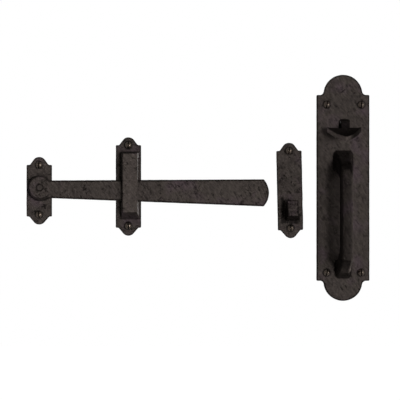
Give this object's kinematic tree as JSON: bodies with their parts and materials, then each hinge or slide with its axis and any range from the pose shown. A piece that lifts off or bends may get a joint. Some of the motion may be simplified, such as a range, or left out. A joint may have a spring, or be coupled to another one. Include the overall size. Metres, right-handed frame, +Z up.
{
  "type": "gate latch",
  "caption": "Hammered black iron gate latch: pull handle with thumb lever, pivoted latch bar, staple guide and hooked catch.",
  "frame": {"origin": "centre of the handle plate's four screws, on the face of the gate", "axes": "+X to the right and +Z up as seen from the front; +Y into the gate, along the screws"},
  "size_m": [0.3784, 0.1145, 0.2496],
  "materials": {
    "black_iron": "black waxed, hammered casting",
    "black_screw": "black lacquered"
  },
  "bodies": {
    "plates": {"handle_plate": "black_iron", "thumb_pin": "black_iron", "pivot_plate": "black_iron", "pivot_rivet": "black_iron", "guide_plate": "black_iron", "catch_plate": "black_iron", "pivot_screw_top": "black_screw", "pivot_screw_bottom": "black_screw", "guide_screw_top": "black_screw", "guide_screw_bottom": "black_screw", "catch_screw_top": "black_screw", "catch_screw_bottom": "black_screw", "handle_screw_top_left": "black_screw", "handle_screw_top_right": "black_screw", "handle_screw_bottom_left": "black_screw", "handle_screw_bottom_right": "black_screw"},
    "bar": {"latch_bar": "black_iron"},
    "lever": {"thumb_lever": "black_iron"}
  },
  "joints": [
    {"name": "bar_pivot", "type": "hinge", "parent": "plates", "child": "bar", "pos_m": [-0.3347, 0, 0.0011], "axis": [0, -1, 0], "range_deg": [0, 12]},
    {"name": "thumb_press", "type": "hinge", "parent": "plates", "child": "lever", "pos_m": [0.0005, 0.0065, 0.0685], "axis": [1, 0, 0], "range_deg": [0, 18]}
  ]
}
